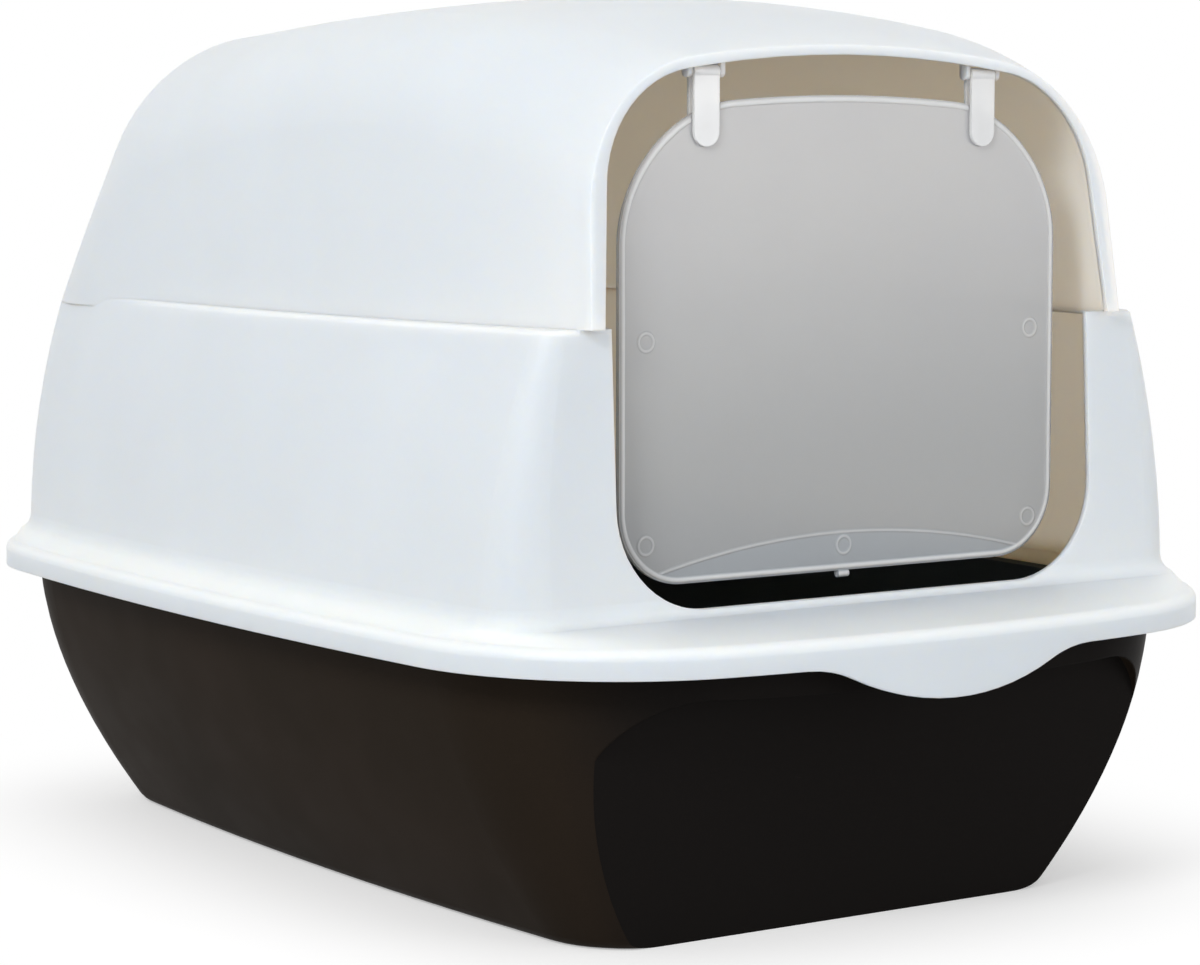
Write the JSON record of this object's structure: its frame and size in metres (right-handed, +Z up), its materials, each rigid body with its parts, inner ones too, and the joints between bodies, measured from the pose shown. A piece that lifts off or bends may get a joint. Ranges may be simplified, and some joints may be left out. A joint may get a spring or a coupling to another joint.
{
  "type": "covered litter box",
  "caption": "Covered cat litter box: dark flared tray, white domed hood that lifts off, and a frosted flap door that swings both ways in an arched doorway.",
  "frame": {"origin": "on the floor under the middle of the box", "axes": "+X across the width, -Y towards the doorway at the front, +Z up"},
  "size_m": [0.4, 0.5599, 0.3889],
  "materials": {
    "tray_plastic": "satin, dark brown-black",
    "hood_plastic": "satin, white",
    "flap_plastic": "frosted, translucent",
    "clip_plastic": "clear"
  },
  "bodies": {
    "tray_body": {"tray": "tray_plastic"},
    "hood_body": {"hood": "hood_plastic"},
    "door_body": {"flap": "flap_plastic", "hinge_clip_left": "clip_plastic", "hinge_clip_right": "clip_plastic"}
  },
  "joints": [
    {"name": "hood_lift", "type": "slide", "parent": "tray_body", "child": "hood_body", "axis": [0, 0, 1], "range_m": [0, 0.15]},
    {"name": "door_swing", "type": "hinge", "parent": "hood_body", "child": "door_body", "pos_m": [0, -0.20439, 0.353], "axis": [1, 0, 0], "range_deg": [-70, 85]}
  ]
}
